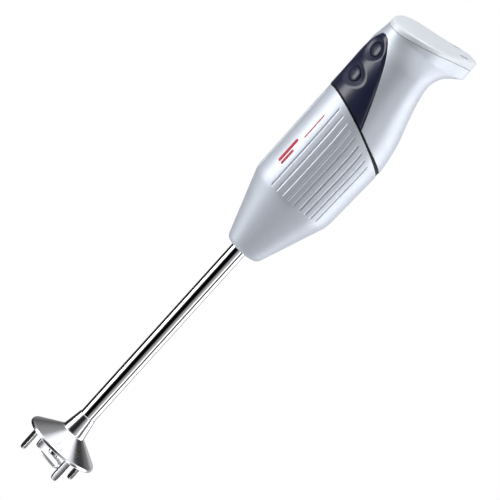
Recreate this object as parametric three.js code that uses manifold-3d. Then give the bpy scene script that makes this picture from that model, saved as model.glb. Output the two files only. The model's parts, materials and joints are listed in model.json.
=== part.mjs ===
// Immersion blender: a mains hand blender with a steel shaft, a splash guard on four legs,
// a fluted motor housing and a two-button handle. Millimetres, +Z up the shaft, +X to the tail.
// It stands on the tips of the guard's legs at z = 0.
import * as THREE from "three";
import { mergeVertices } from "three/addons/utils/BufferGeometryUtils.js";
import Module from "manifold-3d";

const wasm = await Module();
wasm.setup();

// ---- driving dimensions, measured from the drive axis ----
const AXIS_X = -5.45; // the drive axis, ahead of the middle of the object's length
const GAP = 0.3; // clearance between neighbouring pieces
const WALL = 2.2; // moulded casing walls
const ROUND = 36; // facets round the casings
const FAR = 400; // size of the cutting blocks, larger than the object

// Casing sections from the shaft up: height, middle, half length and half width.
const SECTIONS = [
  { z: 199.5, x: 2.3, a: 10.6, b: 10.6 },
  { z: 200.3, x: 2.3, a: 12.5, b: 12.5 },
  { z: 202.2, x: 2.4, a: 14.0, b: 13.9 },
  { z: 245, x: 3.35, a: 29.6, b: 28.9 },
  { z: 249, x: 3.4, a: 30.9, b: 29.8 },
  { z: 253, x: 3.5, a: 31.4, b: 30.1 },
  { z: 275, x: 4.0, a: 31.9, b: 30.4 },
  { z: 298, x: 4.4, a: 32.5, b: 30.6 },
  { z: 310, x: 3.6, a: 31.8, b: 30.2 },
  { z: 322, x: 2.1, a: 30.4, b: 29.4 },
  { z: 334, x: -0.2, a: 28.2, b: 28.2 },
  { z: 346, x: -2.5, a: 26.1, b: 27.1 },
  { z: 356, x: -4.1, a: 24.7, b: 26.4 },
  { z: 364, x: -4.8, a: 24.1, b: 26.0 },
];
const NECK_Z = 365; // the narrowest height of the handle
const RIM_Z = 380.5; // the handle's section is the full teardrop from here up
const FLARE = 1.75; // how late the neck sweeps back into the tail
const NECK = { x: -4.9, a: 24.0, b: 26.0 };
const TEARDROP = { x: -4.5, a: 24.8, b: 20, tail: 40.3, tailWidth: 6.8 };

const SEAM = { z: 311.3, slope: 0.5, gasket: 1.6 }; // joint of housing and handle, at x = 0
const PANEL = { top: 373.8, front: -28.9, slope: 0.3146, proud: 0.3 }; // rear edge of the panel
const COVER_SEAM = [[-31, 380], [-20, 383.2], [-10, 385.3], [0, 386.7], [12, 387.7], [42, 388.4]];
const COVER_TOP = [[-31, 384.4], [-20, 387.6], [-10, 389.3], [0, 390.4], [13, 391.6], [42, 395.3]];

const GROOVES = { count: 9, first: 24.4, pitch: 9.45, width: 1.3, depth: 0.6, low: 250, top: 3 };
const FLUTED = SECTIONS.find(({ z }) => z === 275); // the section the grooves are spaced on
const BUTTON = { radius: 4.85, oval: 1.3, face: -28.1, flange: 6 }; // pressed 1.6 mm inwards
const BUTTONS = [
  { name: "upper", z: 362.5, spread: 2.2 },
  { name: "lower", z: 341.1, spread: 3.6 },
];
const DISH = { radius: 8.7, depth: 2.6 }; // stretched across by each button's spread
const PAD = { radius: 9.6, back: -22.4 }; // thick part of the panel round a button
const SWITCH = { front: -14.9, back: -8.9, well: -12.4, half: 3.4, tall: 6.4 };
const PLUNGER = { front: -17.8, radius: 1.2 };
const SPRING = { front: -20.4, turns: 4, radius: 3.9, wire: 0.4 };
const SLOTS = { x: 27, y: 6.6, length: 7.2, width: 2.6 };
const INLET = { z: 387.4, outer: 3.9, hole: 3.05 };

const TUBE = { outer: 5.8, inner: 4.8, low: 44.5, top: 214 };
const GUARD = { rim: 26.7, low: 16.2, collar: 8.7, collarLow: 30, collarTop: 44.2, skin: 1.5 };
const LEGS = { count: 4, radius: 21.6, turn: -7.3, width: 5, tip: 2.4, thick: 2.1, top: 20.2 };
const SHAFT = { radius: 2.0, bore: 2.3, low: 10.5, top: 219.2 };
const HUB = { inner: 2.3, outer: 4.6, top: 26.9 };
const PIN = { z: 13.5, radius: 0.65, hole: 0.95, half: 3.5 };
const BLADE = { turn: -65, width: 4.2, thick: 0.9, top: 8.3, bottom: 2.4, reach: 9.6, back: 8.3 };
const MOTOR = { shaft: 2.5, bearing: 6.5, core: 13.6, pole: 14.2, window: 19.5, yoke: 24.2 };
const COIL = { inner: 15, outer: 18.6, half: 76, leg: 16, low: 244.6, top: 282 };
const STACK = { low: 250.6, top: 276 }; // lamination stack
const SCREW = { y: 21.3, radius: 1.4, head: 2.6 };

// ---- finishes ----
const finish = (color, roughness, metalness) =>
  new THREE.MeshStandardMaterial({ color, roughness, metalness });
const silver = finish(0xb9bec9, 0.38, 0.35);
const pale = finish(0xd9dfe6, 0.45, 0.1);
const navy = finish(0x1b1f3f, 0.32, 0.05);
const black = finish(0x0c0c0e, 0.6, 0);
const chrome = finish(0xd5d6da, 0.06, 1);
const steel = finish(0xb4b6ba, 0.25, 1);
const iron = finish(0x70757c, 0.5, 0.9);
const copper = finish(0xb5683a, 0.4, 0.9);
const brass = finish(0xc9a14e, 0.35, 0.9);
const carbon = finish(0x2b2b2e, 0.7, 0.1);
const nylon = finish(0xe4e2da, 0.55, 0);
const laminate = finish(0x2f5d3a, 0.6, 0);

const blender = new THREE.Group();
blender.position.x = AXIS_X;

// ---- solids ----
const radians = THREE.MathUtils.degToRad;

function solid(geometry) {
  const bare = new THREE.BufferGeometry().setAttribute("position", geometry.getAttribute("position"));
  if (geometry.index) bare.setIndex(geometry.index);
  const merged = mergeVertices(bare, 1e-3);
  return new wasm.Manifold(
    new wasm.Mesh({
      numProp: 3,
      vertProperties: new Float32Array(merged.getAttribute("position").array),
      triVerts: new Uint32Array(merged.index.array),
    }),
  );
}

function add(name, shape, material) {
  const mesh = shape.getMesh();
  const geometry = new THREE.BufferGeometry();
  geometry.setAttribute("position", new THREE.BufferAttribute(mesh.vertProperties, 3));
  geometry.setIndex(new THREE.BufferAttribute(mesh.triVerts, 1));
  const flat = geometry.toNonIndexed();
  flat.computeVertexNormals();
  const piece = new THREE.Mesh(flat, material);
  piece.name = name;
  blender.add(piece);
}

// A closed profile of [radius, height] points, counter-clockwise, turned about +Z.
function turned(profile, facets = 18) {
  const points = profile.map(([r, z]) => new THREE.Vector2(r, z));
  points.push(points[0].clone());
  return solid(new THREE.LatheGeometry(points, facets).rotateX(Math.PI / 2));
}

function rod(radius, low, top, facets = 16) {
  return turned([[0, low], [radius, low], [radius, top], [0, top]], facets);
}

function sleeve(inner, outer, low, top, facets = 18) {
  return turned([[inner, low], [outer, low], [outer, top], [inner, top]], facets);
}

function block(low, top) {
  const size = top.map((t, i) => t - low[i]);
  const box = new THREE.BoxGeometry(...size);
  return solid(box.translate(...low.map((l, i) => l + size[i] / 2)));
}

// An outline in plan, drawn upwards from one height to another.
function prism(outline, low, top, curveSegments = 8) {
  const options = { depth: top - low, bevelEnabled: false, curveSegments };
  return solid(new THREE.ExtrudeGeometry(outline, options).translate(0, 0, low));
}

// An outline in the side view (x, z), drawn through the given width across y.
function sidePrism(outline, width, curveSegments = 8) {
  const options = { depth: width, bevelEnabled: false, curveSegments };
  const geometry = new THREE.ExtrudeGeometry(outline, options).translate(0, 0, -width / 2);
  return solid(geometry.rotateX(Math.PI / 2));
}

// A round piece turned about the +X line at the given height, its profile [radius, x].
function alongX(profile, z, facets = 20) {
  return turned(profile, facets).rotate([0, 90, 0]).translate([0, 0, z]);
}

// A block with one face on a tilted plane through (x, z): it fills the side below that plane.
function blockBelow(x, z, slope) {
  const box = new THREE.BoxGeometry(FAR, FAR, FAR).translate(0, 0, -FAR / 2);
  return solid(box.rotateY(Math.atan(slope)).translate(x, 0, z));
}

// A closed skin through rings of points; each ring holds the same number of points.
function loft(rings) {
  const count = rings[0].length;
  const middle = (ring) =>
    ring.reduce((sum, p) => sum.add(p), new THREE.Vector3()).divideScalar(count);
  const rows = [middle(rings[0]), ...rings, middle(rings.at(-1))];
  const lathe = new THREE.LatheGeometry(rows.map((_, i) => new THREE.Vector2(1, i)), count);
  const place = lathe.getAttribute("position");
  for (let turn = 0; turn <= count; turn++)
    rows.forEach((row, i) => {
      const p = Array.isArray(row) ? row[turn % count] : row;
      place.setXYZ(turn * rows.length + i, p.x, p.y, p.z);
    });
  return solid(lathe);
}

// ---- casing skin ----
function ellipse({ x, a, b }, inset, count) {
  const curve = new THREE.EllipseCurve(x, 0, a - inset, b - inset, Math.PI, 3 * Math.PI);
  return curve.getSpacedPoints(count).slice(0, count);
}

// The top outline of the handle: a round front that tapers to a narrow square tail.
function teardrop(inset, count) {
  const { x, a, b, tail, tailWidth } = TEARDROP;
  const [end, half, wide] = [tail - inset, tailWidth - inset, b - inset];
  const side = new THREE.Path();
  side.absellipse(x, 0, a - inset, wide, Math.PI, 1.5 * Math.PI);
  side.bezierCurveTo(x + 15, -wide, x + 27, -half - 4.2, end - 4.5, -half - 0.8);
  side.quadraticCurveTo(end, -half, end, -half / 2);
  side.lineTo(end, 0);
  const near = side.getSpacedPoints(count / 2);
  const far = near.slice(1, -1).reverse().map((p) => new THREE.Vector2(p.x, -p.y));
  return [...near, ...far];
}

function level(outline, z) {
  const height = typeof z === "function" ? z : () => z;
  return outline.map((p) => new THREE.Vector3(p.x, p.y, height(p.x)));
}

function casing(inset, count = ROUND, floor = SECTIONS[0].z) {
  const used = SECTIONS.filter(({ z }) => z >= floor);
  const rings = used.map((s) => level(ellipse(s, inset, count), s.z));
  const neck = ellipse(NECK, inset, count);
  const drop = teardrop(inset, count);
  const steps = 6;
  for (let i = 0; i <= steps; i++) {
    const part = i / steps;
    const mix = part ** FLARE;
    const outline = neck.map((p, k) => p.clone().lerp(drop[k], mix));
    rings.push(level(outline, NECK_Z + part * (RIM_Z - NECK_Z)));
  }
  rings.push(level(drop, RIM_Z + 30));
  return loft(rings);
}

const through = (points) => (x) => {
  const i = Math.max(1, points.findIndex(([px]) => px >= x));
  const [[x0, z0], [x1, z1]] = [points[i - 1], points[i]];
  return z0 + ((z1 - z0) * (x - x0)) / (x1 - x0);
};
const crownAt = through(COVER_TOP);

const skin = casing(0);
const hollow = casing(WALL, 28, 202);
const seamLift = (SEAM.gasket / 2 + GAP) * Math.hypot(1, SEAM.slope);
const seamHalf = (SEAM.gasket / 2) * Math.hypot(1, SEAM.slope);
const belowSeam = (lift) => blockBelow(0, SEAM.z + lift, SEAM.slope);

// The block ahead of the panel's rear edge, moved back by a clearance.
function aheadOfPanelEdge(back) {
  const box = new THREE.BoxGeometry(FAR, FAR, FAR).translate(-FAR / 2, 0, 0);
  return solid(box.rotateY(-Math.atan(PANEL.slope)).translate(PANEL.front + back, 0, PANEL.top));
}

const coverCut = new THREE.Shape();
coverCut.moveTo(...COVER_SEAM[0]);
COVER_SEAM.slice(1).forEach((p) => coverCut.lineTo(...p));
coverCut.lineTo(60, COVER_SEAM.at(-1)[1]);
coverCut.lineTo(60, 150);
coverCut.lineTo(-60, 150);
coverCut.lineTo(-60, COVER_SEAM[0][1]);
const underCover = sidePrism(coverCut, 120);

// ---- motor housing ----
const grooveBits = [];
for (const side of [-1, 1])
  for (let i = 0; i < GROOVES.count; i++) {
    const turn = radians(180 - side * (GROOVES.first + i * GROOVES.pitch));
    const { a, b } = FLUTED;
    const [x, y] = [FLUTED.x + a * Math.cos(turn), b * Math.sin(turn)];
    const { low, depth } = GROOVES;
    const top = SEAM.z - SEAM.slope * x - GROOVES.top;
    const box = new THREE.BoxGeometry(2 * depth + 0.8, GROOVES.width, top - low);
    const normal = Math.atan2(Math.sin(turn) / b, Math.cos(turn) / a);
    box.translate(0.4, 0, (top + low) / 2).rotateZ(normal).translate(x, y, 0);
    grooveBits.push(solid(box));
  }

let housing = skin.intersect(belowSeam(-seamLift)).subtract(hollow);
housing = housing.subtract(rod(TUBE.outer + GAP, 190, 210));
for (const bit of grooveBits) housing = housing.subtract(bit);
add("lower_housing", housing, silver);

const ring = casing(0.5, 28).subtract(casing(WALL + 0.6, 28, 202));
add("seam_gasket", ring.intersect(belowSeam(seamHalf)).subtract(belowSeam(-seamHalf)), black);

// ---- handle ----
const inlet = (radius, from, to) => alongX([[0, from], [radius, from], [radius, to], [0, to]], INLET.z);
const handle = skin
  .subtract(belowSeam(seamLift))
  .intersect(underCover)
  .subtract(hollow)
  .subtract(aheadOfPanelEdge(GAP))
  .subtract(inlet(INLET.outer + GAP, 36, 45));
add("handle_shell", handle, silver);

// ---- switch panel and its two buttons ----
const wedge = aheadOfPanelEdge(0).subtract(belowSeam(seamLift));
const panelSkin = casing(-PANEL.proud, ROUND);
let panel = panelSkin.subtract(hollow);
for (const { z } of BUTTONS) {
  const pad = [[0, -31], [PAD.radius, -31], [PAD.radius, PAD.back], [0, PAD.back]];
  panel = panel.add(alongX(pad, z).intersect(panelSkin));
}
panel = panel.intersect(wedge);
const dishBall = (DISH.radius ** 2 + DISH.depth ** 2) / (2 * DISH.depth);
for (const { z, spread } of BUTTONS) {
  const ball = new THREE.SphereGeometry(dishBall, 30, 20).rotateX(Math.PI / 2);
  ball.rotateY(Math.PI / 2).scale(1, spread, 1);
  ball.translate(PANEL.front - PANEL.proud + DISH.depth - dishBall, 0, z);
  const wide = BUTTON.radius + GAP;
  const bore = alongX([[0, -40], [wide, -40], [wide, -20], [0, -20]], z);
  panel = panel.subtract(solid(ball)).subtract(bore.scale([1, BUTTON.oval, 1]));
}
add("switch_panel", panel, navy);

for (const { name, z } of BUTTONS) {
  const { radius, oval, face, flange } = BUTTON;
  const back = PAD.back + GAP;
  const cap = [
    [0, face], [1.6, face + 0.08], [3.2, face + 0.4], [4.3, face + 0.95], [radius, face + 1.8],
    [radius, back], [flange, back], [flange, back + 1.2], [2.2, back + 1.2],
    [2.2, PLUNGER.front - GAP], [0, PLUNGER.front - GAP],
  ];
  add(`${name}_button`, alongX(cap, z).scale([1, oval, 1]), navy);
  const [thin, end] = [PLUNGER.radius, SWITCH.front + GAP];
  const pin = [[0, PLUNGER.front], [thin, PLUNGER.front], [thin, end], [0, end]];
  add(`${name}_plunger`, alongX(pin, z, 12), nylon);
  const well = alongX([[0, -15.5], [1.6, -15.5], [1.6, SWITCH.well], [0, SWITCH.well]], z, 12);
  const { front, back: rear, half, tall } = SWITCH;
  const body = block([front, -half, z - tall], [rear, half, z + tall]);
  add(`${name}_switch`, body.subtract(well), black);
  const reach = SWITCH.front - GAP - 2 * SPRING.wire - SPRING.front;
  const coil = new THREE.CatmullRomCurve3(
    Array.from({ length: SPRING.turns * 6 + 1 }, (_, i) => {
      const turn = (i / 6) * 2 * Math.PI;
      const along = SPRING.front + SPRING.wire + (reach * i) / (SPRING.turns * 6);
      return new THREE.Vector3(
        along, SPRING.radius * Math.cos(turn), z + SPRING.radius * Math.sin(turn));
    }),
  );
  const wire = new THREE.Shape().absarc(0, 0, SPRING.wire, 0, 2 * Math.PI);
  const options = { steps: SPRING.turns * 8, extrudePath: coil, curveSegments: 2 };
  add(`${name}_button_spring`, solid(new THREE.ExtrudeGeometry(wire, options)), steel);
}
add("circuit_board", block([-8.6, -14, 331], [-7, 14, 371]), laminate);
add("capacitor", block([-6.7, -8, 344], [3.3, 8, 362]), brass);

// ---- top cover ----
const coverRings = [
  level(teardrop(0, ROUND), 376),
  level(teardrop(0, ROUND), (x) => crownAt(x) - 1.6),
  level(teardrop(0.5, ROUND), (x) => crownAt(x) - 0.6),
  level(teardrop(1.6, ROUND), crownAt),
];
const dropMiddle = new THREE.Vector2(2, 0);
const shrunk = (share) => teardrop(1.6, ROUND).map((p) => p.clone().lerp(dropMiddle, 1 - share));
coverRings.push(level(shrunk(0.6), (x) => crownAt(x) + 0.3));
coverRings.push(level(shrunk(0.2), (x) => crownAt(x) + 0.5));
const coverHollow = loft([
  level(teardrop(WALL, 28), 370),
  level(teardrop(WALL, 28), (x) => crownAt(x) - 2),
]);
let cover = loft(coverRings).subtract(coverHollow).subtract(underCover.translate([0, 0, GAP]));
for (const side of [-1, 1]) {
  const half = SLOTS.width / 2;
  const slot = new THREE.Shape();
  slot.absarc(SLOTS.x + SLOTS.length / 2 - half, side * SLOTS.y, half, -Math.PI / 2, Math.PI / 2);
  slot.absarc(SLOTS.x - SLOTS.length / 2 + half, side * SLOTS.y, half, Math.PI / 2, -Math.PI / 2);
  cover = cover.subtract(prism(slot, 380, 400, 4));
}
cover = cover.subtract(inlet(INLET.outer + GAP, 36, 45));
add("top_cover", cover, pale);

const bush = [
  [INLET.hole, 33.4], [4.5, 33.4], [4.5, 34.8], [INLET.outer, 34.8],
  [INLET.outer, 40], [INLET.hole, 40],
];
add("cord_inlet_bush", alongX(bush, INLET.z), black);

// ---- shaft tube, guard and drive line ----
add("tube", sleeve(TUBE.inner, TUBE.outer, TUBE.low, TUBE.top, 32), chrome);
add("tube_collar", sleeve(TUBE.outer + GAP, 9.5, 203, 211), nylon);

const { rim, low, collar, collarLow, collarTop, skin: plate } = GUARD;
let guard = turned(
  [
    [rim - 0.5, low], [rim, low + 0.5], [rim, low + 1.7], [rim - 0.5, low + 2.6],
    [collar + 0.5, collarLow - 0.7], [collar, collarLow], [6.2, collarTop - 0.3], [6, collarTop],
    [4.5, collarTop], [4.5, 50], [3, 50], [3, 43.6], [4.8, 43.6], [4.8, 27.4], [7.8, 27.4],
    [rim - plate - 0.4, low + 0.8], [rim - plate - 0.4, low],
  ],
  44,
);
const leg = new THREE.Shape();
leg.moveTo(-LEGS.tip / 2, 0);
leg.lineTo(LEGS.tip / 2, 0);
leg.quadraticCurveTo(LEGS.width / 2 - 0.1, 0.6, LEGS.width / 2, 4.6);
leg.lineTo(LEGS.width / 2, LEGS.top);
leg.lineTo(-LEGS.width / 2, LEGS.top);
leg.lineTo(-LEGS.width / 2, 4.6);
leg.quadraticCurveTo(-LEGS.width / 2 + 0.1, 0.6, -LEGS.tip / 2, 0);
for (let i = 0; i < LEGS.count; i++)
  guard = guard.add(
    sidePrism(leg, LEGS.thick, 5)
      .translate([0, -LEGS.radius, 0])
      .rotate([0, 0, 90 + LEGS.turn + (i * 360) / LEGS.count]),
  );
add("guard", guard, chrome);

add("lower_bush", sleeve(SHAFT.bore, 4.5, 31.6, 43.2), brass);
add("shaft_seal", sleeve(SHAFT.bore, 4.5, 27.8, 31.3), black);
add("upper_bush", sleeve(SHAFT.bore, 4.5, 200, 212), brass);
const driveShaft = rod(SHAFT.radius, SHAFT.low, SHAFT.top);
const pinHole = alongX([[0, -6], [PIN.hole, -6], [PIN.hole, 6], [0, 6]], PIN.z, 12);
const turnToBlade = [0, 0, BLADE.turn + 90];
add("drive_shaft", driveShaft.subtract(pinHole.rotate(turnToBlade)), steel);
const { radius: pinRadius, half: pinHalf } = PIN;
const pin = alongX(
  [[0, -pinHalf], [pinRadius, -pinHalf], [pinRadius, pinHalf], [0, pinHalf]], PIN.z, 12);
add("drive_pin", pin.rotate(turnToBlade), steel);
add(
  "coupling",
  turned([[SHAFT.bore, 214.5], [5, 214.5], [5, 228], [2.8, 228], [2.8, 220.6], [SHAFT.bore, 220.6]]),
  brass,
);

// ---- blade: a grooved sleeve and a strip bent back under it ----
const { inner: hubBore, outer: hubOuter, top: hubTop } = HUB;
const hubLow = BLADE.top + GAP;
let hub = turned([
  [hubBore, hubLow], [hubOuter, hubLow], [hubOuter, 11.2], [3.8, 11.8], [3.8, 15.6],
  [hubOuter, 16.2], [hubOuter, 18.6], [3.9, 19.2], [3.9, hubTop], [hubBore, hubTop],
]);
hub = hub.subtract(block([-6, -1, 12.2], [6, 1, 30]).rotate(turnToBlade));
add("blade_hub", hub, steel);

const strip = new THREE.Shape();
const bend = (BLADE.top - BLADE.bottom) / 2;
const bendX = BLADE.reach - bend;
const bendZ = (BLADE.top + BLADE.bottom) / 2;
strip.moveTo(-4.4, BLADE.top);
strip.lineTo(-4.4, BLADE.top - BLADE.thick);
strip.absarc(bendX, bendZ, bend - BLADE.thick, Math.PI / 2, -Math.PI / 2, true);
strip.lineTo(-BLADE.back, BLADE.bottom + BLADE.thick);
strip.lineTo(-BLADE.back - 0.6, BLADE.bottom);
strip.absarc(bendX, bendZ, bend, -Math.PI / 2, Math.PI / 2, false);
add("blade", sidePrism(strip, BLADE.width, 6).rotate([0, 0, BLADE.turn]), steel);

// ---- motor ----
add("motor_shaft", rod(MOTOR.shaft, 220.9, 302.9), steel);
for (const [name, z] of [["lower_bearing", 228.4], ["upper_bearing", 297.1]])
  add(name, sleeve(MOTOR.shaft + GAP, MOTOR.bearing, z, z + 5.6), steel);

const pocket = MOTOR.bearing + GAP;
let lowerBracket = turned(
  [
    [3.2, 226.4], [9, 226.4], [9.6, 232.5], [23, 243.6], [23.6, 250.2], [18.9, 250.2],
    [18.9, 247.2], [20.6, 246.4], [19.8, 243.8], [7.6, 234.4], [pocket, 234.4], [pocket, 228.1],
    [3.2, 228.1],
  ],
  24,
);
lowerBracket = lowerBracket.subtract(rod(5.3, 225, 228.2));
let upperBracket = turned(
  [
    [pocket, 294], [23, 294], [23, 296.8], [9, 296.8], [9, 304.2], [3.2, 304.2],
    [3.2, 303.2], [pocket, 303.2],
  ],
  24,
);

const stack = new THREE.Shape().absarc(0, 0, MOTOR.yoke, 0, 2 * Math.PI);
const window = new THREE.Path();
const [poleEdge, windowEdge] = [radians(50), radians(55)];
for (const half of [0, Math.PI]) {
  const middle = Math.PI / 2 + half;
  window.absarc(0, 0, MOTOR.pole, middle - poleEdge, middle + poleEdge);
  window.absarc(0, 0, MOTOR.window, middle + windowEdge, middle + Math.PI - windowEdge);
}
stack.holes.push(window);
let stator = prism(stack, STACK.low, STACK.top, 7);

for (const [side, y] of [["left", -SCREW.y], ["right", SCREW.y]]) {
  const hole = rod(SCREW.radius + GAP, 240, 299, 12).translate([0, y, 0]);
  lowerBracket = lowerBracket.subtract(hole);
  upperBracket = upperBracket.subtract(hole);
  stator = stator.subtract(hole);
  const head = SCREW.head;
  const shank = [
    [0, 244.8], [SCREW.radius, 244.8], [SCREW.radius, 297.1], [head, 297.1], [head, 299.2],
    [0, 299.2],
  ];
  add(`motor_screw_${side}`, turned(shank, 12).translate([0, y, 0]), steel);
}
lowerBracket = lowerBracket.subtract(
  block([-3, -24, 240], [3, -19, 246.6]).add(block([-3, 19, 240], [3, 24, 246.6])),
);
add("motor_lower_bracket", lowerBracket, iron);
add("motor_upper_bracket", upperBracket, iron);
add("stator_core", stator, iron);

// A field coil: two end turns joined by legs that pass through the stator's windows.
function sector(from, to, lowZ, topZ) {
  const shape = new THREE.Shape().absarc(0, 0, COIL.outer, radians(from), radians(to));
  shape.absarc(0, 0, COIL.inner, radians(to), radians(from), true);
  return prism(shape, lowZ, topZ, 4);
}
for (const [side, middle] of [["left", -90], ["right", 90]]) {
  const [from, to] = [middle - COIL.half, middle + COIL.half];
  const [below, above] = [STACK.low - 0.4, STACK.top + 0.4];
  const coil = sector(from, to, COIL.low, below)
    .add(sector(from, to, above, COIL.top))
    .add(sector(to - COIL.leg, to, below - 0.2, above + 0.2))
    .add(sector(from, from + COIL.leg, below - 0.2, above + 0.2));
  add(`field_coil_${side}`, coil, copper);
}

add("armature_core", sleeve(6.3, MOTOR.core, 251, 275.6, 24), iron);
const bobbin = [
  [2.8, 245.2], [12.4, 245.2], [13, 246.4], [13, 250.7], [6, 250.7], [6, 275.9], [13, 275.9],
  [13, 280], [12.4, 281.2], [2.8, 281.2],
];
add("armature_winding", turned(bobbin), copper);
add("commutator", sleeve(2.8, 8, 283, 292.6), brass);
let fan = turned([
  [2.8, 236], [5, 236], [5, 237], [13.4, 242.4], [13.4, 243.2], [5, 243.2], [2.8, 243.2],
]);
for (let i = 0; i < 8; i++)
  fan = fan.subtract(block([6.5, -0.7, 240.4], [14, 0.7, 244]).rotate([0, 0, i * 45]));
add("cooling_fan", fan, nylon);

for (const [side, flip] of [["front", 180], ["rear", 0]]) {
  const outer = block([8.9, -3.6, 284], [22, 3.6, 291.6]);
  const bore = block([8, -2.6, 285], [21, 2.6, 290.6]);
  add(`brush_holder_${side}`, outer.subtract(bore).rotate([0, 0, flip]), brass);
  add(`brush_${side}`, block([8.3, -2.3, 285.3], [16, 2.3, 290.3]).rotate([0, 0, flip]), carbon);
  const spring = sleeve(1.2, 2, 16.3, 20.7, 12).rotate([0, 90, 0]).translate([0, 0, 287.8]);
  add(`brush_spring_${side}`, spring.rotate([0, 0, flip]), steel);
}

export default blender;
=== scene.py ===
"""The looks of a mains immersion blender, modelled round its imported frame.

Metres, +Z up the shaft, +X towards the tail of the handle. Sizes in the classes are millimetres
measured from the drive axis, and every mesh is turned to metres when its points are placed.
"""

import json
import logging
import math
from collections.abc import Callable, Iterator, Sequence
from contextlib import contextmanager
from dataclasses import dataclass, field
from enum import Enum

import bpy
from mathutils import Matrix, Vector


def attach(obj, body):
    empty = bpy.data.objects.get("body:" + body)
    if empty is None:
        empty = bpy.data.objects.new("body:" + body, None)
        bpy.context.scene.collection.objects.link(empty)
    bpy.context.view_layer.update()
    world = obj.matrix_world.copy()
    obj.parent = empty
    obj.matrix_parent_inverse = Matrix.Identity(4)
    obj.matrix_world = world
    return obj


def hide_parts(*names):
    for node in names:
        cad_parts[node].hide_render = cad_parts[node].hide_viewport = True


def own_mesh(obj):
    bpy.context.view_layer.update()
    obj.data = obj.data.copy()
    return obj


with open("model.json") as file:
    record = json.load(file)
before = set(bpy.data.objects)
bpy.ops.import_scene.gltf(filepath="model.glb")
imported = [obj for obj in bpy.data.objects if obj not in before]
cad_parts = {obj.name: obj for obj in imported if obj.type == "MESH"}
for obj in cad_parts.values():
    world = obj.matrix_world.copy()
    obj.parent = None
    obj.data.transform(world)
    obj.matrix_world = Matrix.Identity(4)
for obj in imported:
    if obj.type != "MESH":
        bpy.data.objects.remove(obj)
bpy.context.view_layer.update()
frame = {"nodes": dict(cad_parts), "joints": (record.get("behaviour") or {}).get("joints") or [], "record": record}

log = logging.getLogger("immersion_blender")

MM = 0.001
Point = tuple[float, float, float]
Colour = tuple[float, float, float]
Stops = tuple[tuple[float, float], ...]
Place = Callable[[int, int], Point]
Piece = bpy.types.Object
Socket = bpy.types.NodeSocket
DRIVE_AXIS_X = next(j["pos_m"][0] for j in frame["joints"] if j["name"] == "motor_spin") / MM


class Body(Enum):
    """The bodies of the frame that a piece can ride on."""

    CASING = "body"
    BLADE = "blade_unit"
    UPPER_BUTTON = "upper_switch_button"
    LOWER_BUTTON = "lower_switch_button"


class Slot(Enum):
    """The material slots of the record, and the ink, which has none there."""

    HOUSING = "housing_grey"
    SEAL = "black_seal"
    PANEL = "navy_panel"
    COVER = "cover_pale"
    RUBBER = "black_rubber"
    TUBE = "tube_chrome"
    GUARD = "guard_chrome"
    NYLON = "nylon"
    BRASS = "bearing_brass"
    STEEL = "steel"
    BLADE = "blade_steel"
    IRON = "iron"
    COPPER = "copper"
    CARBON = "carbon"
    MOULDING = "black_plastic"
    BOARD = "laminate"
    CAPACITOR = "capacitor_film"
    INK = "red_ink"


# ---- the modelling bench ----


def metres(x: float, y: float, z: float) -> Point:
    """Turns a point in millimetres from the drive axis to the frame's metres."""
    return ((x + DRIVE_AXIS_X) * MM, y * MM, z * MM)


def pick_only(piece: Piece) -> None:
    """Leaves one object selected and active."""
    bpy.ops.object.select_all(action="DESELECT")
    piece.select_set(True)
    bpy.context.view_layer.objects.active = piece


@contextmanager
def editing(piece: Piece) -> Iterator[None]:
    """Opens a piece in edit mode with its whole mesh selected, and closes it afterwards.

    Args:
        piece: The mesh object to edit.
    """
    pick_only(piece)
    bpy.ops.object.mode_set(mode="EDIT")
    bpy.ops.mesh.select_all(action="SELECT")
    yield
    bpy.ops.object.mode_set(mode="OBJECT")


def modify(piece: Piece, kind: str, **settings: object) -> None:
    """Puts a modifier on a piece and applies it.

    Args:
        piece: The mesh object.
        kind: The modifier's type.
        settings: Values for the modifier's own properties.
    """
    modifier = piece.modifiers.new(kind.lower(), kind)
    for name, value in settings.items():
        setattr(modifier, name, value)
    pick_only(piece)
    bpy.ops.object.modifier_apply(modifier=modifier.name)


def close_skin(piece: Piece, gap: float = 0.004) -> None:
    """Merges the points that meet and turns the faces outwards.

    Args:
        piece: The mesh object.
        gap: Points closer than this, in millimetres, become one.
    """
    with editing(piece):
        bpy.ops.mesh.remove_doubles(threshold=gap * MM)
        bpy.ops.mesh.normals_make_consistent(inside=False)
    mesh = piece.data
    heights = [v.co.z for v in mesh.vertices]
    centre = Vector(metres(0, 0, (min(heights) + max(heights)) / 2 / MM))
    if sum(p.area * p.normal.dot(p.center - centre) for p in mesh.polygons) < 0:
        with editing(piece):
            bpy.ops.mesh.flip_normals()


def named(piece: Piece, name: str) -> Piece:
    """Names an object and its mesh."""
    piece.name = piece.data.name = name
    return piece


def added(name: str, primitive: Callable[..., object], **settings: object) -> Piece:
    """Adds a plain mesh object with nothing else selected.

    Args:
        name: The piece's name.
        primitive: The operator that adds it.
        settings: The operator's own settings.

    Returns:
        The new mesh object.
    """
    bpy.ops.object.select_all(action="DESELECT")
    primitive(**settings)
    return named(bpy.context.object, name)


def wrapped(name: str, columns: int, rows: int, place: Place) -> Piece:
    """Wraps a grid round a shape and closes it where its edges meet.

    Args:
        name: The piece's name.
        columns: Faces across the grid.
        rows: Faces up the grid.
        place: Gives the point in millimetres of a column and a row.

    Returns:
        The new mesh object.
    """
    piece = added(name, bpy.ops.mesh.primitive_grid_add, x_subdivisions=columns,
                  y_subdivisions=rows, size=1)
    for vertex in piece.data.vertices:
        column = round((vertex.co.x + 0.5) * columns)
        row = round((vertex.co.y + 0.5) * rows)
        vertex.co = metres(*place(column, row))
    close_skin(piece)
    return piece


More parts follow.
